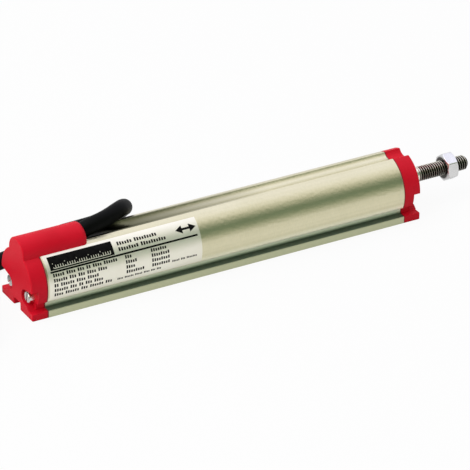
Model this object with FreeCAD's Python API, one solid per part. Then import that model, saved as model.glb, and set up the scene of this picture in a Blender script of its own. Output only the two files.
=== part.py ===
import FreeCAD, Part

import math
import os

# Linear potentiometer, rod type, in millimetres. X runs along the rod towards its free end, Y to the back,
# Z up. The origin is below the middle of the whole length, on the plane that the feet stand on.

# Lengths along X
CASE_LEN = 169.8
REAR_CAP_LEN = 6.4
FRONT_CAP_LEN = 6.8
GASKET_LEN = 0.5
GASKET_INSET = 0.1
ROD_PLAIN_OUT = 5.8
THREAD_LEN = 22.8
STROKE = 102.0

# Cross-section of the case
FOOT_HALF = 13.0
FOOT_H = 3.0
SLOT_HALF = 2.6
WEB_HALF = 10.05
GROOVE_TOP = 6.15
DOME_R = 13.0
DOME_Z = 11.5
CHANNEL_R = 3.7
CHANNEL_Z = 26.1
CAP_CHANNEL_R = 3.9
CAP_CHANNEL_Z = 26.2
EDGE_R = 0.3

# Hollow of the extrusion
CAVITY_R = 11.3
CAVITY_FLOOR = 6.3
CHANNEL_WALL = 1.5
LEDGE_IN = 5.8
LEDGE_BOTTOM = 17.3
LEDGE_TOP = 18.5

# Cap screws and the pockets that their heads sit in
SCREW_Y = 7.2
SCREW_Z = 7.7
SCREW_R = 1.25
SCREW_LEN = 12.0
SCREW_HOLE_R = 1.4
HEAD_R = 2.3
HEAD_LEN = 2.3
DRIVE_SLOT_W = 0.7
DRIVE_SLOT_DEPTH = 0.9
PORT_R = 2.4
POCKET_R = 3.2
POCKET_DEPTH = 2.9
REAR_POCKET_RISE = 1.3
FRONT_POCKET_RISE = 0.8
CAP_EDGE_R = 0.4

# Cable nose on the rear cap
NOSE_LEN = 27.4
NOSE_R = 6.2
NOSE_Z = 23.4
NOSE_END_R = 1.9
NOSE_GAP = 0.08
CABLE_R = 3.25
CABLE_Z = 25.7
CABLE_BORE_R = 3.3
CAP_WALL = 1.6
CHAMBER_HALF = 4.2
CHAMBER_BOTTOM = 17.6
SHEATH_END = 3.2
CLIP_R = 3.6
CLIP_START = 4.0
CLIP_LEN = 2.0

# Rod, nut and what guides them
ROD_R = 3.0
ROD_Z = 12.3
TAIL_R = 2.0
TAIL_GROOVE_R = 1.6
TIP_CHAMFER = 1.1
THREAD_PITCH_R = 2.675
THREAD_CLEAR = 0.2
NUT_FLATS = 10.0
NUT_LEN = 5.0
NUT_FROM_TIP = 10.95
NUT_CORNER_DEG = 38.0
BUSH_R = 4.3
BUSH_LEN = 16.5
BUSH_PLAY = 0.04
SEAL_R = 5.0
SEAL_LEN = 2.6
SEAL_SET_BACK = 0.3
SPIGOT_R = 5.8
SPIGOT_LEN = 14.1
BUFFER_R = 5.4
FRONT_BUFFER_LEN = 2.5
FRONT_BUFFER_BORE_R = 3.4

# Carriage, contacts and track board
CARRIAGE_FROM_REAR = 20.0
CARRIAGE_LEN = 24.0
CARRIAGE_HALF = 8.2
CARRIAGE_BOTTOM = 10.5
CARRIAGE_TOP = 16.5
CARRIAGE_POCKET_LEN = 7.0
CARRIAGE_WEB = 5.0
CARRIAGE_POCKET_HALF = 3.8
ROD_END_PLAY = 0.05
SHOE_LEN = 6.0
SHOE_PLAY = 0.06
BOARD_HALF = 6.7
BOARD_T = 1.6
BOARD_FROM_REAR = 8.2
BOARD_LEN = 136.8
TRACK_T = 0.08
TRACK_IN = 1.4
TRACK_OUT = 4.6
TRACK_FROM_REAR = 16.0
TRACK_LEN = 116.0
CONTACT_T = 0.2
CONTACT_PLAY = 0.03
TERMINAL_T = 0.4
TERMINAL_LEN = 5.0
LEAD_R = 0.5
LEAD_Y = 2.2
LEAD_BEND = 0.9

# Label on the front of the dome, measured round the dome from the front horizontal
LABEL_T = 0.1
LABEL_FROM_REAR = 7.5
LABEL_LEN = 65.0
LABEL_LOW_DEG = -21.0
LABEL_HIGH_DEG = 62.0

# Free cable and the coil that it is put away in
COIL_X = -150.2
COIL_Y = 2.0
COIL_LIFT = 0.7
COIL_MID_R = 32.5
COIL_HALF = 6.5
COIL_EDGE_R = 2.6
TIE_T = 0.6
TIE_W = 4.0
TIE_PLAY = 0.05
CORE_R = 0.6
CORE_LEN = 30.0
CORE_PITCH = 1.75
CORE_FIRST_DEG = -22.0
CORE_STEP_DEG = -7.0
FERRULE_LEN = 8.0
FERRULE_R = 0.9

OVERALL = CASE_LEN + ROD_PLAIN_OUT + THREAD_LEN
X_REAR = -OVERALL / 2
X_FRONT = X_REAR + CASE_LEN
X_TIP = OVERALL / 2
PROFILE_START = X_REAR + REAR_CAP_LEN + GASKET_LEN
PROFILE_END = X_FRONT - FRONT_CAP_LEN - GASKET_LEN
NOSE_END = X_REAR + NOSE_LEN
CARRIAGE_X = X_REAR + CARRIAGE_FROM_REAR
WEB_X = CARRIAGE_X + CARRIAGE_POCKET_LEN
NUT_X = X_TIP - NUT_FROM_TIP
SPIGOT_X = X_FRONT - FRONT_CAP_LEN - SPIGOT_LEN
CHANNEL = (CHANNEL_R, CHANNEL_Z)
CAP_CHANNEL = (CAP_CHANNEL_R, CAP_CHANNEL_Z)
REACH = 60.0

V = FreeCAD.Vector
X_AXIS = V(1, 0, 0)

# Route of the free cable from the nose to the coil: over the back of the case, down and back along the floor
FLOOR_Z = CABLE_R + 0.05
COIL_Z = CABLE_R + COIL_LIFT
CABLE_ROUTE = [
    V(NOSE_END, 0, CABLE_Z),
    V(-67.6, 0, CABLE_Z),
    V(-60.1, -0.6, 27.5),
    V(-51.0, 2.3, 29.0),
    V(-43.7, 8.2, 27.6),
    V(-39.3, 15.8, 22.8),
    V(-39.3, 23.6, 16.6),
    V(-44.1, 30.7, 10.3),
    V(-52.8, 34.5, 5.5),
    V(-62.8, 34.5, 3.6),
    V(-72.9, 30.1, FLOOR_Z),
    V(-90.1, 29.9, FLOOR_Z),
    V(-101.4, 26.7, FLOOR_Z),
    V(-108.9, 19.7, FLOOR_Z + 0.2),
    V(-113.1, 8.2, FLOOR_Z + 0.4),
    V(-114.4, -2.2, COIL_Z),
]

# Route of the end of the cable, from the inner turn of the coil into the middle of it
TAIL_ROUTE = [
    V(COIL_X - 26.4, COIL_Y + 2.0, COIL_Z),
    V(COIL_X - 23.6, COIL_Y + 11.4, COIL_Z),
    V(COIL_X - 16.4, COIL_Y + 17.8, COIL_Z),
    V(COIL_X - 7.0, COIL_Y + 19.4, COIL_Z),
]


def bar(x0, x1, y0, y1, z0, z1):
    """Rectangular bar between two corners."""
    return Part.makeBox(x1 - x0, y1 - y0, z1 - z0, V(x0, y0, z0))


def mirrored_bars(x0, x1, y_in, y_out, z0, z1):
    """The same bar on both sides of the middle plane."""
    return [bar(x0, x1, -y_out, -y_in, z0, z1), bar(x0, x1, y_in, y_out, z0, z1)]


def round_bar(x0, x1, radius, y, z):
    """Round bar along X."""
    return Part.makeCylinder(radius, x1 - x0, V(x0, y, z), X_AXIS)


def ring(x0, x1, outer, inner, y, z):
    """Plain ring along X."""
    return round_bar(x0, x1, outer, y, z).cut(round_bar(x0, x1, inner, y, z))


def prism(outline, x0, x1):
    """Outline of (y, z) points, extruded along X."""
    points = [V(x0, y, z) for y, z in outline]
    face = Part.Face(Part.makePolygon(points + points[:1]))
    return face.extrude(V(x1 - x0, 0, 0))


def edges_along_x(shape, spots):
    """Edges parallel to X that pass through the given (y, z) places."""
    found = []
    for edge in shape.Edges:
        ends = [vertex.Point for vertex in edge.Vertexes]
        if len(ends) != 2 or abs(ends[0].y - ends[1].y) > 1e-6 or abs(ends[0].z - ends[1].z) > 1e-6:
            continue
        if any(math.hypot(ends[0].y - y, ends[0].z - z) < 0.05 for y, z in spots):
            found.append(edge)
    return found


def tube(points, radii, section):
    """Round tube along straight runs joined by tangent arcs."""
    edges = []
    start = points[0]
    for before, corner, after, radius in zip(points, points[1:], points[2:], radii):
        to_before = (before - corner).normalize()
        to_after = (after - corner).normalize()
        half_turn = (math.pi - to_before.getAngle(to_after)) / 2
        reach = radius * math.tan(half_turn)
        first = corner + to_before * reach
        last = corner + to_after * reach
        inward = (to_before + to_after).normalize()
        middle = corner + inward * (radius / math.cos(half_turn) - radius)
        if (first - start).Length > 1e-6:
            edges.append(Part.makeLine(start, first))
        edges.append(Part.Arc(first, middle, last).toShape())
        start = last
    edges.append(Part.makeLine(start, points[-1]))
    path = Part.Wire(edges)
    circle = Part.makeCircle(section, points[0], points[1] - points[0])
    solid = path.makePipeShell([Part.Wire(circle)], True, True)
    return solid, path.Length


def route_radii(points):
    """Largest arc that the runs beside each corner of a cord leave room for."""
    radii = []
    for before, corner, after in zip(points, points[1:], points[2:]):
        run_in = corner - before
        run_out = after - corner
        turn = run_in.getAngle(run_out)
        radii.append(0.45 * min(run_in.Length, run_out.Length) / math.tan(turn / 2))
    return radii


def case_bar(x0, x1, channel=None, inset=0.0):
    """Outer section of the case: two feet, a narrower web, a dome and a round channel along its top."""
    dome = round_bar(x0, x1, DOME_R - inset, 0, DOME_Z)
    dome = dome.common(bar(x0, x1, -REACH, REACH, GROOVE_TOP + inset, REACH))
    web = bar(x0, x1, inset - WEB_HALF, WEB_HALF - inset, inset, GROOVE_TOP + inset)
    feet = bar(x0, x1, inset - FOOT_HALF, FOOT_HALF - inset, inset, FOOT_H - inset)
    body = dome.fuse([web, feet]).cut(bar(x0, x1, -SLOT_HALF - inset, SLOT_HALF + inset, 0, FOOT_H + inset))
    if channel:
        body = body.cut(round_bar(x0, x1, channel[0] + inset, 0, channel[1]))
    return body.removeSplitter()


def channel_lip(radius, centre_z):
    """Place where a round channel meets the dome."""
    apart = centre_z - DOME_Z
    height = (apart**2 + DOME_R**2 - radius**2) / (2 * apart)
    return math.sqrt(DOME_R**2 - height**2), DOME_Z + height


def outer_corners(channel=None):
    """Outer corners of the case section that are rounded off."""
    dome_half = math.sqrt(DOME_R**2 - (DOME_Z - GROOVE_TOP) ** 2)
    half = [(FOOT_HALF, 0), (FOOT_HALF, FOOT_H), (dome_half, GROOVE_TOP), (SLOT_HALF, 0)]
    if channel:
        half.append(channel_lip(*channel))
    return half + [(-y, z) for y, z in half]


def screw_places():
    """Centres of the two screws that hold a cap."""
    return [(-SCREW_Y, SCREW_Z), (SCREW_Y, SCREW_Z)]


def cavity(x0, x1):
    """Hollow of the extrusion, with room taken by the screw ports, the channel and the board ledges."""
    room = round_bar(x0, x1, CAVITY_R, 0, DOME_Z)
    room = room.common(bar(x0, x1, -REACH, REACH, CAVITY_FLOOR, REACH))
    walls = [round_bar(x0, x1, CHANNEL_R + CHANNEL_WALL, 0, CHANNEL_Z)]
    walls += [round_bar(x0, x1, PORT_R, y, z) for y, z in screw_places()]
    walls += mirrored_bars(x0, x1, SCREW_Y, REACH, 0, SCREW_Z + PORT_R)
    walls += mirrored_bars(x0, x1, LEDGE_IN, REACH, LEDGE_BOTTOM, LEDGE_TOP)
    return room.cut(walls)


def body_profile():
    x0, x1 = PROFILE_START, PROFILE_END
    body = case_bar(x0, x1, CHANNEL)
    body = body.makeFillet(EDGE_R, edges_along_x(body, outer_corners(CHANNEL)))
    ports = [round_bar(x0, x1, SCREW_R, y, z) for y, z in screw_places()]
    return body.cut([cavity(x0, x1)] + ports)


def head_pocket(x0, x1, side, rise):
    """Pocket for a screw head, open to the side of the cap, where its upper edge has risen a little."""
    opening = [
        (SCREW_Y, SCREW_Z + POCKET_R),
        (DOME_R + 1.0, SCREW_Z + POCKET_R + rise),
        (DOME_R + 1.0, FOOT_H),
        (WEB_HALF, FOOT_H),
        (SCREW_Y + 1.1, SCREW_Z - POCKET_R - 0.1),
        (SCREW_Y, SCREW_Z - POCKET_R),
    ]
    open_side = prism([(side * y, z) for y, z in opening], x0, x1)
    return round_bar(x0, x1, POCKET_R, side * SCREW_Y, SCREW_Z).fuse(open_side)


def cap_block(x0, x1, outer_x, rise, channel=None):
    """Blank of a cap: the case section with screw holes and head pockets, rounded round its outer face."""
    block = case_bar(x0, x1, channel)
    block = block.makeFillet(EDGE_R, edges_along_x(block, outer_corners(channel)))
    outer_face = max(block.Faces, key=lambda face: face.Area * (abs(face.CenterOfMass.x - outer_x) < 1e-6))
    block = block.makeFillet(CAP_EDGE_R, outer_face.OuterWire.Edges)
    inner_x = outer_x + math.copysign(POCKET_DEPTH, (x0 + x1) / 2 - outer_x)
    pocket_x = sorted([outer_x, inner_x])
    cuts = [round_bar(x0, x1, SCREW_HOLE_R, y, z) for y, z in screw_places()]
    cuts += [head_pocket(pocket_x[0], pocket_x[1], side, rise) for side in (-1, 1)]
    return block.cut(cuts).removeSplitter()


def cable_nose():
    """Half-round hood that carries the cable forwards over the case."""
    nose = round_bar(X_REAR, NOSE_END, NOSE_R, 0, NOSE_Z)
    nose = nose.fuse(bar(X_REAR, NOSE_END, -NOSE_R, NOSE_R, DOME_Z + CAVITY_R - NOSE_R, NOSE_Z)).removeSplitter()
    ends = [edge for edge in nose.Edges if abs(edge.CenterOfMass.x - NOSE_END) < 1e-6]
    ends = [edge for edge in ends if edge.BoundBox.ZMax > NOSE_Z + 1 or edge.BoundBox.ZLength > 1]
    nose = nose.makeFillet(NOSE_END_R, ends)
    rear = [edge for edge in nose.Edges if abs(edge.CenterOfMass.x - X_REAR) < 1e-6]
    rear = [edge for edge in rear if edge.BoundBox.ZMax > NOSE_Z + 1]
    nose = nose.makeFillet(CAP_EDGE_R, rear)
    over_profile = round_bar(X_REAR + REAR_CAP_LEN, NOSE_END + 1, DOME_R + NOSE_GAP, 0, DOME_Z)
    return nose.cut(over_profile)


def rear_cap():
    inner_x = X_REAR + REAR_CAP_LEN
    cap = cap_block(X_REAR, inner_x, X_REAR, REAR_POCKET_RISE).fuse(cable_nose()).removeSplitter()
    bore = round_bar(X_REAR + CAP_WALL, NOSE_END + 1, CABLE_BORE_R, 0, CABLE_Z)
    clip_seat = round_bar(X_REAR + CAP_WALL, X_REAR + CLIP_START + CLIP_LEN, CLIP_R, 0, CABLE_Z)
    chamber = bar(X_REAR + CAP_WALL, inner_x, -CHAMBER_HALF, CHAMBER_HALF, CHAMBER_BOTTOM, CABLE_Z)
    return cap.cut([bore, clip_seat, chamber])


def front_cap():
    inner_x = X_FRONT - FRONT_CAP_LEN
    cap = cap_block(inner_x, X_FRONT, X_FRONT, FRONT_POCKET_RISE, CAP_CHANNEL)
    cap = cap.fuse(round_bar(SPIGOT_X, inner_x, SPIGOT_R, 0, ROD_Z))
    seal_seat = X_FRONT - SEAL_SET_BACK - SEAL_LEN
    bush_seat = round_bar(SPIGOT_X, seal_seat, BUSH_R, 0, ROD_Z)
    return cap.cut([bush_seat, round_bar(seal_seat, X_FRONT, SEAL_R, 0, ROD_Z)])


def gasket(x0):
    """Flat gasket that seals a cap to the end of the extrusion, almost flush with the outline."""
    x1 = x0 + GASKET_LEN
    sheet = case_bar(x0, x1, CHANNEL, GASKET_INSET)
    cuts = [cavity(x0, x1)]
    cuts += [round_bar(x0, x1, SCREW_HOLE_R, y, z) for y, z in screw_places()]
    return sheet.cut(cuts)


def cap_screw(floor_x, direction, y, slot_deg):
    """Slotted cheese-head screw whose head stands on the pocket floor."""
    head_top = floor_x - direction * HEAD_LEN
    head = round_bar(min(floor_x, head_top), max(floor_x, head_top), HEAD_R, y, SCREW_Z)
    rim = [edge for edge in head.Edges if abs(edge.BoundBox.XMin - head_top) < 1e-6]
    head = head.makeFillet(0.35, [edge for edge in rim if edge.BoundBox.XLength < 1e-6])
    tip = floor_x + direction * SCREW_LEN
    shank = round_bar(min(floor_x, tip), max(floor_x, tip), SCREW_R, y, SCREW_Z)
    slot_bottom = head_top + direction * DRIVE_SLOT_DEPTH
    half = DRIVE_SLOT_W / 2
    slot_x = sorted([head_top - direction, slot_bottom])
    slot = bar(slot_x[0], slot_x[1], y - half, y + half, SCREW_Z - HEAD_R - 1, SCREW_Z + HEAD_R + 1)
    slot.rotate(V(0, y, SCREW_Z), X_AXIS, slot_deg)
    return head.fuse(shank).cut(slot).removeSplitter()


def cap_screws(outer_x, direction, slot_degs):
    floor_x = outer_x + direction * POCKET_DEPTH
    places = zip(screw_places(), slot_degs)
    return Part.Compound([cap_screw(floor_x, direction, y, deg) for (y, z), deg in places])


def label():
    x0 = X_REAR + LABEL_FROM_REAR
    x1 = x0 + LABEL_LEN
    near, far = -DOME_R, -DOME_R - LABEL_T
    corners = [V(x0, near, DOME_Z), V(x1, near, DOME_Z), V(x1, far, DOME_Z), V(x0, far, DOME_Z)]
    strip = Part.Face(Part.makePolygon(corners + corners[:1]))
    centre = V(0, 0, DOME_Z)
    strip.rotate(centre, X_AXIS, -LABEL_LOW_DEG)
    return strip.revolve(centre, X_AXIS, LABEL_LOW_DEG - LABEL_HIGH_DEG)


def rod():
    """Round rod with a shouldered, grooved tail at the carriage and a chamfered thread end.

    The thread is a cylinder of its outer radius, or of its pitch radius where the nut is on it.
    """
    shoulder = WEB_X + CARRIAGE_WEB + ROD_END_PLAY
    tail_x = WEB_X - 2.5
    main = round_bar(shoulder, X_TIP, ROD_R, 0, ROD_Z)
    tip = [edge for edge in main.Edges if edge.BoundBox.XMin > X_TIP - 1e-3]
    main = main.makeChamfer(TIP_CHAMFER, tip)
    tail = round_bar(tail_x, shoulder, TAIL_R, 0, ROD_Z)
    groove = ring(WEB_X - 1.05, WEB_X - 0.05, ROD_R, TAIL_GROOVE_R, 0, ROD_Z)
    under_nut = ring(NUT_X, NUT_X + NUT_LEN + THREAD_CLEAR, ROD_R, THREAD_PITCH_R, 0, ROD_Z)
    return main.cut(under_nut).fuse(tail.cut(groove)).removeSplitter()


def rod_clip():
    """Open clip that holds the tail of the rod in the carriage."""
    x0, x1 = WEB_X - 1.0, WEB_X - 0.1
    clip = ring(x0, x1, ROD_R + 0.4, TAIL_GROOVE_R, 0, ROD_Z)
    return clip.cut(bar(x0, x1, -TAIL_GROOVE_R * 0.8, TAIL_GROOVE_R * 0.8, ROD_Z - 5, ROD_Z))


def hex_nut():
    corner_r = NUT_FLATS / math.sqrt(3)
    face_r = 0.46 * NUT_FLATS
    slope = (corner_r - face_r) * math.tan(math.radians(30))
    angles = [math.radians(180 - NUT_CORNER_DEG + 60 * k) for k in range(6)]
    hexagon = prism([(corner_r * math.cos(a), ROD_Z + corner_r * math.sin(a)) for a in angles], NUT_X, NUT_X + NUT_LEN)
    steps = [(0, 0), (0, face_r), (slope, corner_r), (NUT_LEN - slope, corner_r), (NUT_LEN, face_r), (NUT_LEN, 0)]
    points = [V(NUT_X + x, r, ROD_Z) for x, r in steps]
    turned = Part.Face(Part.makePolygon(points + points[:1])).revolve(V(0, 0, ROD_Z), X_AXIS, 360)
    return hexagon.common(turned).cut(round_bar(NUT_X, NUT_X + NUT_LEN, THREAD_PITCH_R, 0, ROD_Z))


def rod_bush():
    x1 = X_FRONT - SEAL_SET_BACK - SEAL_LEN
    return ring(x1 - BUSH_LEN, x1, BUSH_R, ROD_R + BUSH_PLAY, 0, ROD_Z)


def rod_wiper_seal():
    """Scraper seal in the mouth of the front cap, with a coned lip."""
    x0 = X_FRONT - SEAL_SET_BACK - SEAL_LEN
    x1 = x0 + SEAL_LEN
    seal = ring(x0, x1, SEAL_R, ROD_R + BUSH_PLAY, 0, ROD_Z)
    dish = Part.makeCone(ROD_R + 0.3, SEAL_R - 0.5, 0.8, V(x1 - 0.8, 0, ROD_Z), X_AXIS)
    lip = Part.makeCone(ROD_R + 1.0, ROD_R + 0.4, 0.8, V(x1 - 0.8, 0, ROD_Z), X_AXIS)
    return seal.cut(dish.cut(lip))


def front_buffer():
    return ring(SPIGOT_X - FRONT_BUFFER_LEN, SPIGOT_X, BUFFER_R, FRONT_BUFFER_BORE_R, 0, ROD_Z)


def rear_buffer():
    return round_bar(X_REAR + REAR_CAP_LEN, CARRIAGE_X - 0.4, BUFFER_R, 0, ROD_Z)


def carriage():
    x0, x1 = CARRIAGE_X, CARRIAGE_X + CARRIAGE_LEN
    block = bar(x0, x1, -CARRIAGE_HALF, CARRIAGE_HALF, CARRIAGE_BOTTOM, CARRIAGE_TOP)
    skirt = bar(WEB_X, x1, -CARRIAGE_POCKET_HALF, CARRIAGE_POCKET_HALF, ROD_Z - 4.6, CARRIAGE_BOTTOM)
    pocket = bar(x0, WEB_X, -CARRIAGE_POCKET_HALF, CARRIAGE_POCKET_HALF, 0, ROD_Z + 3.6)
    rod_hole = round_bar(WEB_X + CARRIAGE_WEB, x1, ROD_R + 0.3, 0, ROD_Z)
    tail_hole = round_bar(WEB_X, WEB_X + CARRIAGE_WEB, TAIL_R + BUSH_PLAY, 0, ROD_Z)
    return block.fuse(skirt).cut([pocket, rod_hole, tail_hole]).removeSplitter()


def guide_shoes():
    """Four slide pads between the carriage and the wall of the extrusion."""
    shoes = []
    for x0 in (CARRIAGE_X + 1, CARRIAGE_X + CARRIAGE_LEN - 1 - SHOE_LEN):
        bore = round_bar(x0, x0 + SHOE_LEN, CAVITY_R - SHOE_PLAY, 0, DOME_Z)
        for pad in mirrored_bars(x0, x0 + SHOE_LEN, CARRIAGE_HALF, REACH, CARRIAGE_BOTTOM + 0.6, CARRIAGE_BOTTOM + 4):
            shoes.append(pad.common(bore))
    return Part.Compound(shoes)


def contact_brush(side):
    """Spring contact: a foot on the carriage and four sprung fingers that reach up to a track."""
    foot_x = CARRIAGE_X + 10
    tip_x = CARRIAGE_X + 3.5
    tip_z = LEDGE_TOP - TRACK_T - CONTACT_PLAY
    width = TRACK_OUT - TRACK_IN - 0.4
    y0 = min(side * (TRACK_IN + 0.2), side * (TRACK_OUT - 0.2))
    pieces = [bar(foot_x, foot_x + 6, y0, y0 + width, CARRIAGE_TOP, CARRIAGE_TOP + CONTACT_T)]
    outline = [
        V(foot_x + 0.5, 0, CARRIAGE_TOP),
        V(foot_x + 0.5, 0, CARRIAGE_TOP + CONTACT_T),
        V(tip_x, 0, tip_z),
        V(tip_x, 0, tip_z - CONTACT_T),
    ]
    finger_face = Part.Face(Part.makePolygon(outline + outline[:1]))
    pitch = width / 4
    for k in range(4):
        finger = finger_face.extrude(V(0, pitch - 0.2, 0))
        finger.translate(V(0, y0 + k * pitch + 0.1, 0))
        pieces.append(finger)
    return pieces[0].fuse(pieces[1:]).removeSplitter()


def track_board():
    x0 = X_REAR + BOARD_FROM_REAR
    return bar(x0, x0 + BOARD_LEN, -BOARD_HALF, BOARD_HALF, LEDGE_TOP, LEDGE_TOP + BOARD_T)


def track(side):
    """Film track on the underside of the board."""
    x0 = X_REAR + TRACK_FROM_REAR
    y0, y1 = sorted([side * TRACK_IN, side * TRACK_OUT])
    return bar(x0, x0 + TRACK_LEN, y0, y1, LEDGE_TOP - TRACK_T, LEDGE_TOP)


def lead_places():
    return (-LEAD_Y, 0.0, LEAD_Y)


def board_terminals():
    x0 = X_REAR + BOARD_FROM_REAR - 0.6
    z0 = LEDGE_TOP - TERMINAL_T
    return Part.Compound([bar(x0, x0 + TERMINAL_LEN, y - 0.5, y + 0.5, z0, LEDGE_TOP) for y in lead_places()])


def lead_wires():
    """Three leads from the end of the cable sheath down to the terminals of the board."""
    top_z = CABLE_Z - 0.8
    low_z = LEDGE_TOP - TERMINAL_T / 2
    bend_x = X_REAR + CAP_WALL + LEAD_R + 0.1
    leads = []
    for y in lead_places():
        points = [
            V(X_REAR + SHEATH_END, y, top_z),
            V(bend_x, y, top_z),
            V(bend_x, y, low_z),
            V(X_REAR + BOARD_FROM_REAR - 0.6, y, low_z),
        ]
        solid, length = tube(points, [LEAD_BEND, LEAD_BEND], LEAD_R)
        leads.append(solid)
    return Part.Compound(leads)


def cable_entry():
    return round_bar(X_REAR + SHEATH_END, NOSE_END, CABLE_R, 0, CABLE_Z)


def cable_clip():
    x0 = X_REAR + CLIP_START
    return ring(x0, x0 + CLIP_LEN, CLIP_R, CABLE_R, 0, CABLE_Z)


def cord_tube(route):
    """Length of cable along a route of its own."""
    radii = route_radii(route)
    solid, length = tube(route, radii, CABLE_R)
    print("bends in diameters", [round(radius / (2 * CABLE_R), 1) for radius in radii])
    print("length", round(length, 1), "volume ratio", round(solid.Volume / (math.pi * CABLE_R**2 * length), 4))
    return solid


def cable_coil():
    """Outer shape of the coil: a flat ring two cables wide."""
    centre = V(COIL_X, COIL_Y, COIL_LIFT)
    body = Part.makeCylinder(COIL_MID_R + COIL_HALF, 2 * CABLE_R, centre)
    body = body.cut(Part.makeCylinder(COIL_MID_R - COIL_HALF, 2 * CABLE_R, centre))
    rims = [edge for edge in body.Edges if edge.Curve.TypeId == "Part::GeomCircle"]
    return body.makeFillet(COIL_EDGE_R, rims)


def cable_tie():
    """Flat tie round the section of the coil."""
    outer = COIL_Y - COIL_MID_R - COIL_HALF - TIE_PLAY
    inner = COIL_Y - COIL_MID_R + COIL_HALF + TIE_PLAY
    low = COIL_LIFT - TIE_PLAY
    high = COIL_LIFT + 2 * CABLE_R + TIE_PLAY
    x0, x1 = COIL_X - TIE_W / 2, COIL_X + TIE_W / 2
    band = bar(x0, x1, outer - TIE_T, inner + TIE_T, low - TIE_T, high + TIE_T)
    return band.cut(bar(x0, x1, outer, inner, low, high))


def core_lines():
    """Start and end of each core, spread like a small fan from the end of the sheath down to the floor."""
    lines = []
    for k in range(4):
        lean = math.radians(CORE_FIRST_DEG + CORE_STEP_DEG * k)
        start = TAIL_ROUTE[-1] + V(0, CORE_PITCH * (1.5 - k), 0)
        finish = start + V(CORE_LEN * math.cos(lean), CORE_LEN * math.sin(lean), 0)
        finish.z = FERRULE_R + 0.05
        lines.append((start, finish))
    return lines


def cable_core(number):
    start, finish = core_lines()[number]
    return Part.makeCylinder(CORE_R, (finish - start).Length - FERRULE_LEN, start, finish - start)


def core_ferrules():
    tips = []
    for start, finish in core_lines():
        heading = (finish - start).normalize()
        tips.append(Part.makeCylinder(FERRULE_R, FERRULE_LEN, finish - heading * FERRULE_LEN, heading))
    return Part.Compound(tips)


def main():
    os.makedirs("parts", exist_ok=True)
    nodes = {
        "body_profile": body_profile(),
        "rear_cap": rear_cap(),
        "front_cap": front_cap(),
        "rear_gasket": gasket(X_REAR + REAR_CAP_LEN),
        "front_gasket": gasket(PROFILE_END),
        "rear_cap_screws": cap_screws(X_REAR, 1, (8, 40)),
        "front_cap_screws": cap_screws(X_FRONT, -1, (-20, 65)),
        "label": label(),
        "rod": rod(),
        "rod_clip": rod_clip(),
        "hex_nut": hex_nut(),
        "rod_bush": rod_bush(),
        "rod_wiper_seal": rod_wiper_seal(),
        "front_buffer": front_buffer(),
        "rear_buffer": rear_buffer(),
        "carriage": carriage(),
        "guide_shoes": guide_shoes(),
        "track_contact": contact_brush(-1),
        "collector_contact": contact_brush(1),
        "track_board": track_board(),
        "resistive_track": track(-1),
        "collector_track": track(1),
        "board_terminals": board_terminals(),
        "lead_wires": lead_wires(),
        "cable_entry": cable_entry(),
        "cable_clip": cable_clip(),
        "cable": cord_tube(CABLE_ROUTE),
        "cable_coil": cable_coil(),
        "cable_tail": cord_tube(TAIL_ROUTE),
        "cable_tie": cable_tie(),
        "core_white": cable_core(0),
        "core_brown": cable_core(1),
        "core_green": cable_core(2),
        "core_shield": cable_core(3),
        "core_ferrules": core_ferrules(),
    }
    for name, shape in nodes.items():
        box = shape.optimalBoundingBox()
        print(f"{name:18s} solids {len(shape.Solids)} valid {shape.isValid()} volume {shape.Volume:10.2f}",
              f"x {box.XMin:8.2f} {box.XMax:8.2f} y {box.YMin:7.2f} {box.YMax:7.2f} z {box.ZMin:6.2f} {box.ZMax:6.2f}")
        shape.exportStep(f"parts/{name}.step")


main()
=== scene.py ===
import math

import bpy
from mathutils import Matrix, Vector


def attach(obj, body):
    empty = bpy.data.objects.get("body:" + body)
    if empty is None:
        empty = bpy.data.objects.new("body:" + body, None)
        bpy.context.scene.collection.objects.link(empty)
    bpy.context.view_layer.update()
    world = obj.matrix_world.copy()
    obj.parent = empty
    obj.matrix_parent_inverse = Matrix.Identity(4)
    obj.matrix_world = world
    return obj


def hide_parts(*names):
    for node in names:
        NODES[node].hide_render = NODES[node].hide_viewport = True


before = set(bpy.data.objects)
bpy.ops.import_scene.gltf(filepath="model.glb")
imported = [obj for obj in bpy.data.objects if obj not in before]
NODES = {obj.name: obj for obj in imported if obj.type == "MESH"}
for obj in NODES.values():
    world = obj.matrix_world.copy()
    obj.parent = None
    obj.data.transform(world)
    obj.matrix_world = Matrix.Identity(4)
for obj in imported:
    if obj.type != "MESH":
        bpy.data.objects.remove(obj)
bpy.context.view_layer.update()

# Lengths are written in millimetres, and MM turns them into metres for Blender.
MM = 0.001
DOME_Z = 11.5
LABEL_SKIN = 13.1
CABLE_R = 3.25
ROD_Z = 12.3
ROD_R = 3.0
ROD_TIP = 99.2


# Modelling steps

WELD_GAP = 2e-6
SMOOTH_DEG = 35
TURN_STEPS = 64


def pick(piece):
    """Select this one piece and nothing else."""
    bpy.ops.object.select_all(action="DESELECT")
    piece.select_set(True)
    bpy.context.view_layer.objects.active = piece


def edit_all():
    """Open the picked piece for editing, with its whole mesh selected."""
    bpy.ops.object.mode_set(mode="EDIT")
    bpy.ops.mesh.select_all(action="SELECT")


def edit_done():
    """Close the edit."""
    bpy.ops.object.mode_set(mode="OBJECT")


def close_up(piece, smooth=SMOOTH_DEG):
    """Weld a mesh's seams, turn its faces outwards and smooth its gentle edges."""
    pick(piece)
    edit_all()
    bpy.ops.mesh.remove_doubles(threshold=WELD_GAP)
    bpy.ops.mesh.normals_make_consistent(inside=False)
    edit_done()
    bpy.ops.object.shade_smooth_by_angle(angle=math.radians(smooth))


def new_square(name, size):
    """A flat square that a piece starts from."""
    bpy.ops.object.select_all(action="DESELECT")
    bpy.ops.mesh.primitive_plane_add(size=size)
    piece = bpy.context.object
    piece.name = name
    return piece


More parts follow.
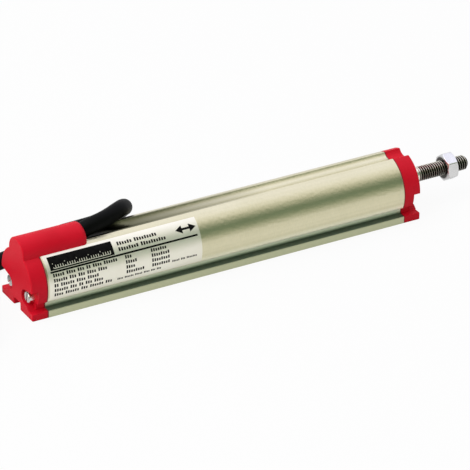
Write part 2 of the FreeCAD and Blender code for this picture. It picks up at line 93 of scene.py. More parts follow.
def draw_line(name, points, closed=False):
    """A line of edges, drawn by pulling one corner on from point to point."""
    piece = new_square(name, MM)
    places = [Vector(point) * MM for point in points]
    edit_all()
    bpy.ops.mesh.merge(type="CENTER")
    bpy.ops.transform.translate(value=places[0])
    for here, there in zip(places, places[1:]):
        bpy.ops.mesh.extrude_region_move(TRANSFORM_OT_translate={"value": there - here})
    bpy.ops.mesh.select_all(action="SELECT")
    if closed:
        bpy.ops.mesh.edge_face_add()
    edit_done()
    return piece


def turn_solid(name, outline):
    """A solid turned about the rod's axis from its outline of (x, radius) points."""
    piece = draw_line(name, [(x, 0, ROD_Z + radius) for x, radius in outline])
    edit_all()
    bpy.ops.mesh.spin(steps=TURN_STEPS, angle=math.tau, center=(0, 0, ROD_Z * MM), axis=(1, 0, 0))
    edit_done()
    close_up(piece)
    return piece


def modify(piece, kind, **settings):
    """Add a modifier and apply it."""
    pick(piece)
    modifier = piece.modifiers.new(kind.lower(), kind)
    for name, value in settings.items():
        setattr(modifier, name, value)
    bpy.ops.object.modifier_apply(modifier=modifier.name)


def carve(piece, operation, tool):
    """Cut a piece by a tool, or keep only what they share. The tool is used up."""
    modify(piece, "BOOLEAN", operation=operation, object=tool, solver="EXACT")
    bpy.data.objects.remove(tool)


# Camera

CAMERA_SENSOR = 36.0
CAMERA_LENS = 313.07
CAMERA_PLACE = (-680.13, -1204.70, 773.74)
CAMERA_RIGHT = (0.87448, -0.48498, 0.00775)
CAMERA_UP = (0.22967, 0.42807, 0.87407)
CAMERA_BACK = (-0.42723, -0.76259, 0.48573)


def make_camera():
    """Long lens at the photograph's height and turn."""
    data = bpy.data.cameras.new("camera")
    data.sensor_width = CAMERA_SENSOR
    data.lens = CAMERA_LENS
    data.clip_start = 0.05
    data.clip_end = 40.0
    camera = bpy.data.objects.new("camera", data)
    turn = Matrix((CAMERA_RIGHT, CAMERA_UP, CAMERA_BACK)).transposed().to_4x4()
    camera.matrix_world = Matrix.Translation(Vector(CAMERA_PLACE) * MM) @ turn
    bpy.context.scene.collection.objects.link(camera)
    bpy.context.scene.camera = camera


make_camera()


# Cable

# Control points: out of the nose, over the back of the case, down and back to the coil.
CABLE_ROUTE = [
    (-71.8, 0, 25.7), (-68.5, -0.5, 27.3), (-61.4, 0.3, 28.0), (-51.9, 5.0, 28.2),
    (-46.7, 12.5, 23.5), (-44.1, 19.1, 19.2), (-42.3, 25.0, 14.7), (-44.6, 31.0, 8.6),
    (-51.9, 36.1, 4.8), (-64.5, 38.1, 3.5), (-80.3, 30.4, 3.3), (-90.1, 29.9, 3.3),
    (-101.4, 26.7, 3.3), (-108.9, 19.7, 3.5), (-113.1, 8.2, 3.7), (-114.4, -2.2, 3.95),
]
COIL_X, COIL_Y, COIL_Z = -150.2, 2.0, 3.95
COIL_R = 35.8
COIL_STEPS = 18
COIL_FIRST_DEG = -5
COIL_STEP_DEG = 30
# The coil winds inwards by this much a step.
COIL_STEP_IN = 0.555
# A control point lies this much farther out than the line that it draws.
COIL_PULL = 1.035
# The last points, from the middle of the coil.
TAIL_ROUTE = [(-23.6, 11.4), (-16.4, 17.8), (-7.0, 19.4)]


def coil_points():
    """Control points of the put-away coil, from its outer turn to its inner one."""
    points = []
    for step in range(1, COIL_STEPS + 1):
        radius = COIL_PULL * (COIL_R - COIL_STEP_IN * step)
        turn = math.radians(COIL_FIRST_DEG - COIL_STEP_DEG * step)
        points.append((COIL_X + radius * math.cos(turn), COIL_Y + radius * math.sin(turn), COIL_Z))
    return points


def cable_line():
    """Control points of the whole cable: its free run, the coil and the tail inside the coil."""
    tail = [(COIL_X + x, COIL_Y + y, COIL_Z) for x, y in TAIL_ROUTE]
    return CABLE_ROUTE + coil_points() + tail


def make_cable():
    """The cable as one smooth line, from the nose to the stripped end."""
    line = cable_line()
    curve = bpy.data.curves.new("cable_run", "CURVE")
    curve.dimensions = "3D"
    spline = curve.splines.new("NURBS")
    spline.points.add(len(line) - 1)
    for point, place in zip(spline.points, line):
        point.co = (*(Vector(place) * MM), 1)
    spline.order_u = 3
    spline.use_endpoint_u = True
    spline.resolution_u = 16
    drawn = bpy.data.objects.new("cable_line", curve)
    bpy.context.scene.collection.objects.link(drawn)
    path = [corner.co.copy() for corner in bpy.data.meshes.new_from_object(drawn).vertices]
    curve.bevel_depth = CABLE_R * MM
    curve.bevel_resolution = 10
    curve.use_fill_caps = True
    bpy.context.view_layer.update()
    cable = bpy.data.objects.new("cable_run", bpy.data.meshes.new_from_object(drawn))
    bpy.context.scene.collection.objects.link(cable)
    bpy.data.objects.remove(drawn)
    close_up(cable)
    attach(cable, "case")
    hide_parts("cable", "cable_coil", "cable_tail")


make_cable()


# Rod

# Outlines as (x, radius): the tail with its clip groove and shoulder, and the tip with its chamfer.
ROD_TAIL = [
    (-74.7, 0), (-74.7, 1.8), (-74.5, 2.0), (-73.25, 2.0), (-73.25, 1.6),
    (-72.25, 1.6), (-72.25, 2.0), (-67.15, 2.0), (-67.15, 2.8), (-66.95, ROD_R),
]
ROD_END = [(ROD_TIP - 1.1, ROD_R), (ROD_TIP, 1.9), (ROD_TIP, 0)]
THREAD_START = 76.4
THREAD_END = ROD_TIP + 0.6
THREAD_PITCH = 1.0
THREAD_FLANK_DEG = 30
THREAD_ROOT_R = 2.39
THREAD_ROOT_HALF = THREAD_PITCH / 12
THREAD_STEPS = 48
THREAD_SMOOTH_DEG = 25
# The cut reaches a little past the rod's skin.
CUT_R = ROD_R + 0.03
# At its start the cut lifts out of the rod over this length, by this share of its radius.
RUN_OUT_LEN = 1.2 * THREAD_PITCH
RUN_OUT_LIFT = 0.2


def thread_groove(start, end):
    """The helical cut of a metric thread, as a closed solid that runs out at its start."""
    low, high = THREAD_ROOT_HALF, CUT_R - THREAD_ROOT_R
    half_top = low + high * math.tan(math.radians(THREAD_FLANK_DEG))
    corners = [(-half_top, CUT_R), (-low, THREAD_ROOT_R), (low, THREAD_ROOT_R), (half_top, CUT_R)]
    points = [(start + x, 0, radius) for x, radius in corners]
    groove = draw_line("thread_groove", points, closed=True)
    pick(groove)
    edit_all()
    bpy.ops.mesh.delete(type="ONLY_FACE")
    edit_done()
    turns = round((end - start) / THREAD_PITCH) + 1
    modify(groove, "SCREW", axis="X", screw_offset=THREAD_PITCH * MM, iterations=turns,
           steps=THREAD_STEPS, render_steps=THREAD_STEPS, use_merge_vertices=False)
    for corner in groove.data.vertices:
        run_out = max(0.0, 1.0 - (corner.co.x / MM - start) / RUN_OUT_LEN)
        corner.co.yz *= 1.0 + RUN_OUT_LIFT * min(1.0, run_out)
        corner.co.z += ROD_Z * MM
    pick(groove)
    edit_all()
    bpy.ops.mesh.select_all(action="DESELECT")
    bpy.ops.mesh.select_non_manifold()
    bpy.ops.mesh.fill_holes(sides=0)
    edit_done()
    close_up(groove)
    return groove


def make_rod():
    """Ground rod: shouldered and grooved tail in the carriage, plain shank, threaded end."""
    rod = turn_solid("threaded_rod", ROD_TAIL + ROD_END)
    carve(rod, "DIFFERENCE", thread_groove(THREAD_START, THREAD_END))
    close_up(rod, THREAD_SMOOTH_DEG)
    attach(rod, "rod")
    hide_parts("rod")


make_rod()


# Nut

NUT_START = 88.25
NUT_END = NUT_START + 5.0
# The hexagon bar reaches past the nut at both ends, so that none of its faces lies on the blank's.
BAR_SPARE = 1.0
NUT_CORNER_R = 10.0 / math.sqrt(3)
NUT_FIRST_CORNER = 142
# Each long edge is rounded by this radius, in these steps of turn.
NUT_EDGE_R = 0.6
NUT_EDGE_STEPS = (-30, -10, 10, 30)
NUT_FACE_R = 4.6
NUT_CHAMFER_DEG = 30
# The blank that gives the nut its chamfers is a hair wider than the bar.
BLANK_R = NUT_CORNER_R + 0.001
NUT_BORE_R = 2.68
# The countersink's cone: its radius outside the nut, how far outside, and how deep it goes in.
SINK_R = 4.0
SINK_OUT = 1.0
SINK_IN = 0.5
# Softened edges: their width, and the least angle of an edge that is softened.
SOFT_EDGE = 0.12
SOFT_EDGE_DEG = 24


def make_nut():
    """Hexagon nut, chamfered all round at both faces, with softened edges."""
    middle = NUT_CORNER_R - NUT_EDGE_R / math.cos(math.radians(30))
    outline = []
    for turn in range(NUT_FIRST_CORNER, NUT_FIRST_CORNER + 360, 60):
        for step in NUT_EDGE_STEPS:
            corner, edge = math.radians(turn), math.radians(turn + step)
            outline.append((NUT_START - BAR_SPARE,
                            middle * math.cos(corner) + NUT_EDGE_R * math.cos(edge),
                            ROD_Z + middle * math.sin(corner) + NUT_EDGE_R * math.sin(edge)))
    nut = draw_line("lock_nut", outline, closed=True)
    edit_all()
    length = (NUT_END - NUT_START + 2 * BAR_SPARE) * MM
    bpy.ops.mesh.extrude_region_move(TRANSFORM_OT_translate={"value": (length, 0, 0)})
    edit_done()
    close_up(nut)
    slope = (NUT_CORNER_R - NUT_FACE_R) * math.tan(math.radians(NUT_CHAMFER_DEG))
    carve(nut, "INTERSECT", turn_solid("nut_blank", [
        (NUT_START, 0), (NUT_START, NUT_FACE_R), (NUT_START + slope, BLANK_R),
        (NUT_END - slope, BLANK_R), (NUT_END, NUT_FACE_R), (NUT_END, 0)]))
    carve(nut, "DIFFERENCE", turn_solid("nut_bore", [
        (NUT_START - SINK_OUT, 0), (NUT_START - SINK_OUT, SINK_R),
        (NUT_START + SINK_IN, NUT_BORE_R), (NUT_END - SINK_IN, NUT_BORE_R),
        (NUT_END + SINK_OUT, SINK_R), (NUT_END + SINK_OUT, 0)]))
    modify(nut, "BEVEL", width=SOFT_EDGE * MM, segments=2, limit_method="ANGLE",
           angle_limit=math.radians(SOFT_EDGE_DEG))
    close_up(nut)
    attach(nut, "rod")
    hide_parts("hex_nut")


make_nut()


# Label print

LABEL_START = -91.7
LABEL_LOW_DEG = -21.0
INK_BOTTOM = LABEL_SKIN - 0.005
INK_T = 0.03
SCALE_BOTTOM = INK_BOTTOM + 0.02

# Places on the label, along it and up round the dome: (left, right, low, high).
BLOCK = (1.5, 28.5, 12.3, 17.8)
RULE = (1.2, 63.8, 11.35, 12.05)
ARROW_SHAFT = (57.4, 62.0, 14.75, 15.65)
# The arrow's heads: (along, up, degrees of turn).
ARROW_HEADS = [(57.2, 15.2, 90), (62.2, 15.2, -90)]
ARROW_R = 1.9
# A block taller than this is cut up, so that it can follow the dome.
TALL_BLOCK = 3
BLOCK_CUTS = 12
ARROW_CUTS = 7

# Rows of marks: (start, foot, height, marks in each group).
HEAD, BODY, SMALL = 1.5, 1.35, 0.9
BODY_FEET = (9.75, 7.75, 5.75, 3.75, 1.75)
BODY_COLUMNS = [
    (2.0, [(5, 4, 3, 2, 4, 6), (6, 3, 3, 4, 4), (2, 6, 4, 5), (6, 3, 2, 3, 4), (4, 6, 3, 6, 3)]),
    (32.4, [(3,), (5,), (4,), (8,)]),
    (43.4, [(7,), (8,), (8,), (8,)]),
]
PRINT_ROWS = [(30.6, 15.4, HEAD, (6, 9)), (30.6, 13.1, HEAD, (8, 10))]
for column, lines in BODY_COLUMNS:
    PRINT_ROWS += [(column, foot, BODY, groups) for foot, groups in zip(BODY_FEET, lines)]
PRINT_ROWS += [(28.6, 1.75, SMALL, (4, 6, 5, 4, 3, 3)), (52.0, 3.4, SMALL, (5, 3, 7))]

# Pitch and rises as shares of a row's height, width and gap as shares of the pitch.
MARK_PITCH = 0.72
MARK_RISES = (0.72, 0.9, 0.78)
MARK_WIDTH = 0.66
GROUP_GAP = 0.8

SCALE_START, SCALE_END = 3.0, 27.0
SCALE_LINE = (12.85, 13.1)
SCALE_TICKS = 25
TICK_HALF = 0.14
TICK_LONG, TICK_SHORT = 1.9, 1.1


def print_blocks():
    """Flat places of the black print: a block, a rule, an arrow's shaft and rows of plain marks."""
    blocks = [BLOCK, RULE, ARROW_SHAFT]
    for start, foot, height, groups in PRINT_ROWS:
        pitch = MARK_PITCH * height
        along = start
        for group in groups:
            for mark in range(group):
                rise = height if mark == 0 else height * MARK_RISES[mark % 3]
                blocks.append((along, along + MARK_WIDTH * pitch, foot, foot + rise))
                along += pitch
            along += GROUP_GAP * pitch
    return blocks


def scale_ticks():
    """White graduations on the black block: a line, and ticks with every fifth one long."""
    low, foot = SCALE_LINE
    ticks = [(SCALE_START, SCALE_END, low, foot)]
    for step in range(SCALE_TICKS):
        rise = TICK_LONG if step % 5 == 0 else TICK_SHORT
        middle = SCALE_START + step
        ticks.append((middle - TICK_HALF, middle + TICK_HALF, foot, foot + rise))
    return ticks


def lay_print(name, blocks, bottom, heads=()):
    """Blocks of print and arrow heads, wrapped round the dome and given their thickness."""
    piece = new_square(name, MM)
    edit_all()
    bpy.ops.mesh.delete(type="VERT")
    for left, right, low, high in blocks:
        middle = Vector((left + right, low + high, 0)) * MM / 2
        size = ((right - left) * MM, (high - low) * MM, 1)
        bpy.ops.mesh.primitive_plane_add(size=1.0, location=middle)
        bpy.ops.transform.resize(value=size, center_override=middle)
        if high - low > TALL_BLOCK:
            bpy.ops.mesh.subdivide(number_cuts=BLOCK_CUTS)
    for along, up, turn in heads:
        bpy.ops.mesh.primitive_circle_add(
            vertices=3, radius=ARROW_R * MM, fill_type="NGON",
            location=(along * MM, up * MM, 0), rotation=(0, 0, math.radians(turn)))
        bpy.ops.mesh.subdivide(number_cuts=ARROW_CUTS)
    edit_done()
    for corner in piece.data.vertices:
        along, up = corner.co.x / MM, corner.co.y / MM
        angle = math.radians(LABEL_LOW_DEG) + up / LABEL_SKIN
        corner.co = Vector((LABEL_START + along, -bottom * math.cos(angle),
                            DOME_Z + bottom * math.sin(angle))) * MM
    modify(piece, "SOLIDIFY", thickness=INK_T * MM, offset=1.0)
    close_up(piece)
    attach(piece, "case")


lay_print("label_print", print_blocks(), INK_BOTTOM, ARROW_HEADS)
lay_print("label_scale", scale_ticks(), SCALE_BOTTOM)


# Shader building

# Most of a noise's values lie between these two.
NOISE_LOW, NOISE_HIGH = 0.3, 0.7
# Sockets of the Mix node that take and give colours.
MIX_FIRST, MIX_SECOND, MIX_RESULT = 6, 7, 2


class Wire:
    """A shader socket that can be used in arithmetic."""

    def __init__(self, finish, socket):
        self.finish = finish
        self.socket = socket

    def out(self, name):
        """Another output of the same node."""
        return Wire(self.finish, self.socket.node.outputs[name])

    def __add__(self, other):
        return self.finish.calculate("ADD", self, other)

    def __sub__(self, other):
        return self.finish.calculate("SUBTRACT", self, other)

    def __rsub__(self, other):
        return self.finish.calculate("SUBTRACT", other, self)

    def __mul__(self, other):
        return self.finish.calculate("MULTIPLY", self, other)

    def __gt__(self, other):
        return self.finish.calculate("GREATER_THAN", self, other)

    def __lt__(self, other):
        return self.finish.calculate("LESS_THAN", self, other)


class Finish:
    """One node tree and the ways to add to it."""

    def __init__(self, tree):
        self.tree = tree
        tree.nodes.clear()

    def node(self, kind, settings=None, values=None, output=0):
        """A new node with its settings and inputs; gives one of its outputs, if it has any."""
        made = self.tree.nodes.new(kind)
        for name, setting in (settings or {}).items():
            setattr(made, name, setting)
        for key, value in (values or {}).items():
            if isinstance(value, Wire):
                self.tree.links.new(value.socket, made.inputs[key])
            else:
                made.inputs[key].default_value = value
        return Wire(self, made.outputs[output]) if made.outputs else made

    def calculate(self, operation, left, right=0.0):
        return self.node("ShaderNodeMath", {"operation": operation}, {0: left, 1: right})

    def place(self, scale=(1, 1, 1)):
        """Object coordinates, stretched."""
        coordinates = self.node("ShaderNodeTexCoord", output="Object")
        return self.node("ShaderNodeMapping", None, {"Vector": coordinates, "Scale": scale})

    def axes(self, vector):
        """The X, Y and Z of a vector."""
        split = self.node("ShaderNodeSeparateXYZ", None, {"Vector": vector})
        return [split.out(name) for name in "XYZ"]

    def rod_radius(self):
        """Distance from the rod's axis."""
        _, across, height = self.axes(self.place())
        up = height - ROD_Z * MM
        return self.calculate("SQRT", up * up + across * across)

    def noise(self, scale, detail=2.0, stretch=(1, 1, 1), roughness=0.5):
        return self.node("ShaderNodeTexNoise", None, {
            "Vector": self.place(stretch), "Scale": scale, "Detail": detail,
            "Roughness": roughness})

    def span(self, value, low, high, to_low=0.0, to_high=1.0):
        """A value carried over from one range to another, and kept inside it."""
        return self.node("ShaderNodeMapRange", None, {
            "Value": value, "From Min": low, "From Max": high, "To Min": to_low, "To Max": to_high})

    def spread(self, noise, to_low=0.0, to_high=1.0):
        """A noise, carried over to a whole range."""
        return self.span(noise, NOISE_LOW, NOISE_HIGH, to_low, to_high)

    def between(self, value, limits, to_low=0.0, to_high=1.0):
        """A change from one value to another between two limits in millimetres."""
        low, high = limits
        return self.span(value, low * MM, high * MM, to_low, to_high)

    def ramp(self, value, stops):
        """Colours at their stops, and blends between them."""
        made = self.node("ShaderNodeValToRGB", None, {"Fac": value})
        elements = made.socket.node.color_ramp.elements
        while len(elements) < len(stops):
            elements.new(1.0)
        for element, (place, colour) in zip(elements, stops):
            element.position = place
            element.color = (*colour, 1.0)
        return made

    def blend(self, amount, first, second):
        """The first colour, or by this amount the second."""
        first, second = (colour if isinstance(colour, Wire) else (*colour, 1.0)
                         for colour in (first, second))
        return self.node("ShaderNodeMix", {"data_type": "RGBA"}, {
            "Factor": amount, MIX_FIRST: first, MIX_SECOND: second}, MIX_RESULT)

    def mottle(self, noise, low, high):
        """Two colours, blended by a noise."""
        return self.blend(self.spread(noise), low, high)

    def bump(self, height, depth, strength):
        """Fine relief, with its depth in millimetres."""
        return self.node("ShaderNodeBump", None, {
            "Height": height, "Distance": depth * MM, "Strength": strength})

    def surface(self, **values):
        """The Principled surface, with its inputs named in small letters."""
        named = {name.replace("_", " ").title().replace("Ior", "IOR"): value
                 for name, value in values.items()}
        shader = self.node("ShaderNodeBsdfPrincipled", None, named)
        self.node("ShaderNodeOutputMaterial", None, {"Surface": shader})


def new_finish(name):
    """A new material, and its node tree to fill."""
    material = bpy.data.materials.new(name)
    material.use_nodes = True
    return material, Finish(material.node_tree)


def paint(material, *names):
    """Put a material on CAD nodes or new pieces, by name."""
    for name in names:
        piece = NODES.get(name) or bpy.data.objects[name]
        piece.data.materials.clear()
        piece.data.materials.append(material)


# Finishes

# Heights and places on the case where its look changes.
FOOT_TOP = 2.97
GROOVE_TOP = 6.12
# Painted shade in the grooves changes from dark to light between these heights.
GROOVE_SHADE_FADE = (3.0, 5.0)
# Painted highlight: just over the grooves the metal is painted near white, fading out between these
# heights.
LIP_HIGHLIGHT_FADE = (6.9, 8.6)
CHANNEL_FLOOR = 22.2
CHANNEL_HALF = 3.75
# Painted shade of the cable in the channel: full up to the first place along the case, gone by the
# second.
CABLE_SHADE_FADE = (-50.0, 10.0)
# Painted shadow of the cable by the nose: near black up to the first place, gone by the second.
CABLE_SHADOW_FADE = (-64.0, -54.0)
# Painted shade down in the grooves: dark at their bottom, light at their top.
GROOVE_PAINTED_SHADE = [
    (0.0, (0.07, 0.10, 0.07)), (0.06, (0.09, 0.13, 0.09)), (0.22, (0.16, 0.22, 0.15)),
    (0.42, (0.46, 0.55, 0.41)), (0.66, (0.80, 0.88, 0.68)), (1.0, (0.95, 0.99, 0.82)),
]

# Painted shade in the thread: it is dark inside these radii, between its flanks, and bright outside
# them. More painted shade darkens it, more below than above.
ROOT_SHADE_R = (2.76, 2.86)
ROD_SHADE_Z = (ROD_Z + 0.3, ROD_Z + 2.6)
ROD_SHADE_BELOW, ROD_SHADE_ABOVE = 0.7, 0.08
# Radii between which painted shade darkens the nut's face towards its bore.
NUT_SHADE_R = (4.8, 4.1)
# Marks of a turning tool, as a stretch of noise: fine along the axis, long round it.
TOOL_RINGS = (5200, 40, 40)


def anodised_aluminium():
    """Champagne satin anodising over fine drawn lines, with painted shade on the foot and in the
    grooves, which are also dull, a painted highlight just over them, and painted shade in the
    channel, darkest under the cable."""
    material, f = new_finish("anodised_aluminium")
    hair = f.noise(1.0, 3.0, (6, 5200, 5200), 0.7)
    streak = f.noise(1.0, 2.0, (3, 900, 900))
    cloud = f.noise(60.0, 2.0)
    etch = f.spread(f.noise(1.0, 2.0, (1500, 800, 800), 0.6))
    along, across, height = f.axes(f.place())
    # Painted shade: below its top the foot is painted darker, for the shade at the floor.
    foot = height < FOOT_TOP * MM
    # In the grooves the finish is dull and carries painted shade.
    groove = (height > FOOT_TOP * MM) * (height < GROOVE_TOP * MM)
    # Painted highlight on the dome's lowest band, over the grooves.
    lip_highlight = (height > GROOVE_TOP * MM) * f.between(height, LIP_HIGHLIGHT_FADE, 1.0, 0.0)
    channel = (height > CHANNEL_FLOOR * MM) * (f.calculate("ABSOLUTE", across) < CHANNEL_HALF * MM)
    # Painted shade of the cable lying along the channel.
    cable_shade = channel * f.between(along, CABLE_SHADE_FADE, 1.0, 0.0)
    # Painted shadow under the cable where it leaves the nose.
    cable_shadow = channel * f.between(along, CABLE_SHADOW_FADE, 1.0, 0.0)
    colour = f.mottle(streak * 0.6 + cloud * 0.4, (0.70, 0.655, 0.44), (0.77, 0.725, 0.51))
    colour = f.blend(lip_highlight, colour, (0.99, 0.97, 0.76))
    colour = f.blend(etch * 0.13, colour, (0.40, 0.42, 0.27))
    # Painted shade on the foot.
    colour = f.blend(foot, colour, (0.53, 0.55, 0.365))
    colour = f.blend(cable_shade, colour, (0.15, 0.15, 0.09))
    colour = f.blend(cable_shadow, colour, (0.012, 0.012, 0.009))
    # Painted shade in the grooves.
    colour = f.blend(groove, colour, f.ramp(f.between(height, GROOVE_SHADE_FADE), GROOVE_PAINTED_SHADE))
    f.surface(base_color=colour, metallic=1.0 - groove,
              roughness=f.spread(hair, 0.276, 0.3) + groove * 0.3,
              normal=f.bump(hair * 0.15 + streak * 0.1 + etch, 0.08, 0.5))
    return material


def moulded(name, low, high, rough, shine=0.35):
    """Moulded plastic: faint cloudiness and a fine spark-eroded grain."""
    material, f = new_finish(name)
    cloud = f.noise(90.0, 3.0)
    pits = f.noise(2600.0, 2.0)
    f.surface(base_color=f.mottle(cloud, low, high),
              roughness=f.spread(pits, rough - 0.05, rough + 0.06),
              normal=f.bump(pits, 0.015, 0.6), specular_ior_level=shine)
    return material


def cable_sheath():
    """Black cable sheath with a dusty bloom and fine pits."""
    material, f = new_finish("cable_sheath_black")
    bloom = f.noise(140.0, 4.0)
    pits = f.noise(1900.0, 2.0)
    dust = f.span(bloom, 0.35, 0.75)
    f.surface(base_color=f.blend(dust, (0.0015, 0.0018, 0.0017), (0.0035, 0.004, 0.0038)),
              roughness=f.spread(bloom, 0.42, 0.56),
              normal=f.bump(pits, 0.02, 0.5), specular_ior_level=0.06)
    return material


def turned_steel(name, low, high, rough, rings=TOOL_RINGS):
    """Bright metal with the faint rings of a turning tool."""
    material, f = new_finish(name)
    ring = f.noise(1.0, 2.0, rings, 0.6)
    cloud = f.noise(300.0, 2.0)
    f.surface(base_color=f.mottle(cloud, low, high), metallic=1.0,
              roughness=f.spread(ring, rough - 0.05, rough + 0.08),
              normal=f.bump(ring, 0.012, 0.4))
    return material


def threaded_steel():
    """Ground rod: bright on its outer skin, with painted shade where the thread is cut into it,
    most on its lower half.
    """
    material, f = new_finish("rod_ground_steel")
    along, _, height = f.axes(f.place())
    # Painted shade on the thread: strong up to just over the axis, faint near the top.
    rod_shade = (along > THREAD_START * MM) * f.between(height, ROD_SHADE_Z, ROD_SHADE_BELOW, ROD_SHADE_ABOVE)
    # Painted shade between the flanks: dark inside the root radii.
    skin = f.between(f.rod_radius(), ROOT_SHADE_R) * (1.0 - rod_shade)
    ring = f.noise(1.0, 2.0, TOOL_RINGS, 0.6)
    cloud = f.noise(300.0, 2.0)
    bright = f.mottle(cloud, (0.80, 0.77, 0.66), (0.90, 0.87, 0.76))
    f.surface(base_color=f.blend(skin, (0.012, 0.011, 0.009), bright), metallic=1.0,
              roughness=f.spread(ring, 0.285, 0.34), normal=f.bump(ring, 0.012, 0.4))
    return material


def nut_steel():
    """Bright nut, with painted shade on its faces round the bore."""
    material, f = new_finish("nut_bright_steel")
    # Painted shade round the bore.
    bore = f.between(f.rod_radius(), NUT_SHADE_R)
    grain = f.noise(1.0, 2.0, (900, 900, 900), 0.6)
    cloud = f.noise(300.0, 2.0)
    bright = f.mottle(cloud, (0.70, 0.70, 0.69), (0.78, 0.78, 0.77))
    f.surface(base_color=f.blend(bore, bright, (0.05, 0.047, 0.04)), metallic=1.0,
              roughness=f.spread(grain, 0.18, 0.28), normal=f.bump(grain, 0.012, 0.4))
    return material


def soft_rubber(name, low, high):
    """Dull rubber with a mottled bloom."""
    material, f = new_finish(name)
    bloom = f.noise(400.0, 4.0)
    pits = f.noise(3000.0, 2.0)
    f.surface(base_color=f.mottle(bloom, low, high), roughness=f.spread(bloom, 0.6, 0.8),
              normal=f.bump(pits, 0.03, 0.5))
    return material


def laminate():
    """Green board with the weave of its glass cloth showing through."""
    material, f = new_finish("board_laminate_green")
    warp, weft = (f.node("ShaderNodeTexWave", {"bands_direction": direction},
                         {"Vector": f.place(), "Scale": 700.0, "Distortion": 0.6})
                  for direction in "XY")
    cloth = warp.out("Fac") * weft.out("Fac")
    f.surface(base_color=f.blend(cloth, (0.012, 0.09, 0.03), (0.03, 0.16, 0.06)),
              roughness=f.span(cloth, 0.0, 1.0, 0.5, 0.35), normal=f.bump(cloth, 0.02, 0.4))
    return material


def label_film():
    """Silver satin film, a little warm, with a faint orange peel."""
    material, f = new_finish("label_film_white")
    peel = f.noise(900.0, 2.0)
    cloud = f.noise(45.0, 3.0)
    f.surface(base_color=f.mottle(cloud, (0.91, 0.88, 0.765), (0.96, 0.935, 0.83)), metallic=0.76,
              roughness=f.spread(peel, 0.3, 0.42), normal=f.bump(peel, 0.01, 0.4))
    return material


def ink():
    """Matt black printing ink, thin in places."""
    material, f = new_finish("label_ink_black")
    thin = f.noise(700.0, 3.0)
    worn = f.span(thin, 0.35, 0.8)
    f.surface(base_color=f.blend(worn, (0.002, 0.002, 0.002), (0.008, 0.008, 0.008)),
              roughness=f.spread(thin, 0.45, 0.6), specular_ior_level=0.05)
    return material


# Plain plastics and films: name, its two shades, roughness and the node that it goes on.
SATIN, GLOSSY = 0.45, 0.3
PLASTICS = [
    ("carriage_black", (0.012, 0.012, 0.013), (0.022, 0.022, 0.024), SATIN, "carriage"),
    ("shoe_white", (0.62, 0.61, 0.56), (0.7, 0.69, 0.64), SATIN, "guide_shoes"),
    ("track_film_black", (0.004, 0.004, 0.005), (0.01, 0.01, 0.011), GLOSSY, "resistive_track"),
    ("collector_film_grey", (0.24, 0.24, 0.25), (0.32, 0.32, 0.33), GLOSSY, "collector_track"),
    ("lead_insulation", (0.22, 0.10, 0.04), (0.3, 0.15, 0.06), SATIN, "lead_wires"),
    ("tie_nylon_black", (0.008, 0.008, 0.008), (0.016, 0.016, 0.016), SATIN, "cable_tie"),
    ("core_white_insulation", (0.7, 0.7, 0.67), (0.78, 0.78, 0.75), SATIN, "core_white"),
    ("core_brown_insulation", (0.075, 0.03, 0.012), (0.11, 0.045, 0.02), SATIN, "core_brown"),
    ("core_green_insulation", (0.01, 0.13, 0.03), (0.02, 0.18, 0.045), SATIN, "core_green"),
    ("core_shield_sleeve", (0.01, 0.01, 0.01), (0.02, 0.02, 0.02), SATIN, "core_shield"),
]

paint(anodised_aluminium(), "body_profile")
paint(moulded("cap_red_plastic", (0.57, 0.0035, 0.017), (0.64, 0.005, 0.022), 0.5, 0.13),
      "rear_cap", "front_cap")
paint(cable_sheath(), "cable_run", "cable_entry", "cable", "cable_coil", "cable_tail")
paint(label_film(), "label", "label_scale")
paint(ink(), "label_print")
paint(threaded_steel(), "rod", "threaded_rod")
paint(nut_steel(), "hex_nut", "lock_nut")
paint(turned_steel("screw_steel", (0.66, 0.65, 0.62), (0.78, 0.77, 0.74), 0.24, (900, 2600, 2600)),
      "rear_cap_screws", "front_cap_screws")
paint(turned_steel("clip_steel", (0.5, 0.5, 0.5), (0.6, 0.6, 0.6), 0.3),
      "cable_clip", "core_ferrules", "rod_clip")
paint(turned_steel("bush_bronze", (0.46, 0.27, 0.10), (0.58, 0.36, 0.15), 0.32), "rod_bush")
paint(turned_steel("contact_plating", (0.66, 0.50, 0.22), (0.78, 0.62, 0.30), 0.22),
      "track_contact", "collector_contact", "board_terminals")
paint(soft_rubber("gasket_silicone", (0.24, 0.006, 0.017), (0.30, 0.009, 0.022)),
      "rear_gasket", "front_gasket")
paint(soft_rubber("seal_rubber", (0.007, 0.007, 0.007), (0.018, 0.018, 0.018)),
      "rod_wiper_seal", "front_buffer", "rear_buffer")
paint(laminate(), "track_board")
for plastic, dark, light, rough, piece_name in PLASTICS:
    paint(moulded(plastic, dark, light, rough), piece_name)


# Floor, light and surroundings

WHITE = (1, 1, 1, 1)
FLOOR_GREY = (0.7, 0.7, 0.7, 1)
FLOOR_SIZE = 6.0
# How much of the floor's white shows in the metal, and how much of the floor is glow.
FLOOR_IN_SHINE = 0.49
FLOOR_GLOW = 0.93
# The studio's shade from the front horizon (0 degrees) overhead (90) to the back horizon (180).
STUDIO = [
    (0, (0.64, 0.64, 0.57)), (10, (0.42, 0.46, 0.36)), (20, (0.22, 0.29, 0.21)),
    (31, (0.095, 0.17, 0.105)), (44, (0.23, 0.29, 0.22)), (54, (0.52, 0.54, 0.46)),
    (64, (0.82, 0.81, 0.76)), (76, (1.07, 1.06, 1.09)), (90, (1.13, 1.13, 1.28)),
    (106, (1.17, 1.17, 1.36)), (130, (1.0, 1.0, 1.07)), (180, (0.84, 0.84, 0.86)),
]


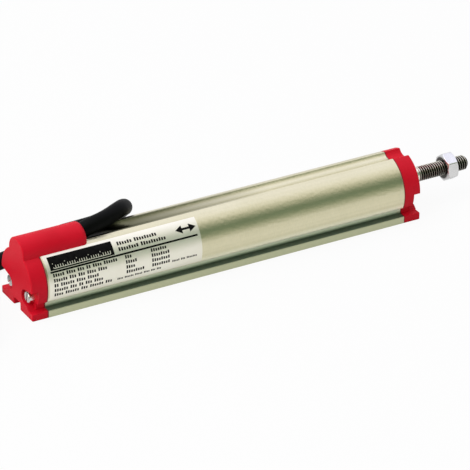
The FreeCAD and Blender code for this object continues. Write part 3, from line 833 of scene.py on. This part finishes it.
def make_floor():
    """A floor that is white to the camera and still shows a soft shadow."""
    floor = new_square("floor", FLOOR_SIZE)
    material, f = new_finish("floor_white")
    path = f.node("ShaderNodeLightPath", output="Is Camera Ray")
    seen = f.calculate("MAXIMUM", path, path.out("Is Glossy Ray") * FLOOR_IN_SHINE)
    seen = f.calculate("MAXIMUM", seen, path.out("Is Transmission Ray"))
    matt = f.node("ShaderNodeBsdfDiffuse", None, {"Color": FLOOR_GREY})
    glow = f.node("ShaderNodeEmission", None, {"Color": WHITE, "Strength": 1.0})
    shader = f.node("ShaderNodeMixShader", None, {"Fac": seen * FLOOR_GLOW, 1: matt, 2: glow})
    f.node("ShaderNodeOutputMaterial", None, {"Surface": shader})
    floor.data.materials.append(material)


def make_world():
    """A white studio: bright above and behind, dim in front where the camera stands."""
    world = bpy.data.worlds.new("studio")
    bpy.context.scene.world = world
    world.use_nodes = True
    f = Finish(world.node_tree)
    _, back, up = f.axes(f.node("ShaderNodeTexCoord", output="Generated"))
    turn = f.span(f.calculate("ARCTAN2", up, 0.0 - back), 0.0, math.pi)
    tone = f.ramp(turn, [(angle / 180, shade) for angle, shade in STUDIO])
    studio = f.node("ShaderNodeBackground", None, {"Color": tone, "Strength": 1.0})
    white = f.node("ShaderNodeBackground", None, {"Color": WHITE, "Strength": 1.0})
    camera_ray = f.node("ShaderNodeLightPath", output="Is Camera Ray")
    shader = f.node("ShaderNodeMixShader", None, {"Fac": camera_ray, 1: studio, 2: white})
    f.node("ShaderNodeOutputWorld", None, {"Surface": shader})


def make_lamp(name, place, aim, size, power, colour=(1, 1, 1)):
    """A flat soft lamp; place, aim and size in metres."""
    data = bpy.data.lights.new(name, "AREA")
    data.shape = "RECTANGLE"
    data.size, data.size_y = size
    data.energy = power
    data.color = colour
    lamp = bpy.data.objects.new(name, data)
    turn = (Vector(place) - Vector(aim)).normalized().to_track_quat("Z", "Y")
    lamp.matrix_world = Matrix.Translation(Vector(place)) @ turn.to_matrix().to_4x4()
    bpy.context.scene.collection.objects.link(lamp)


make_floor()
make_world()
make_lamp("soft_overhead", place=(-0.5, 0.25, 1.05), aim=(0, 0, 0.02), size=(0.9, 0.5), power=3.0)
make_lamp("soft_left", place=(-1.2, -0.35, 0.55), aim=(-0.05, 0, 0.02), size=(0.6, 0.6), power=6.8,
          colour=(1.0, 0.9, 0.7))

bpy.context.scene.view_settings.view_transform = "Standard"
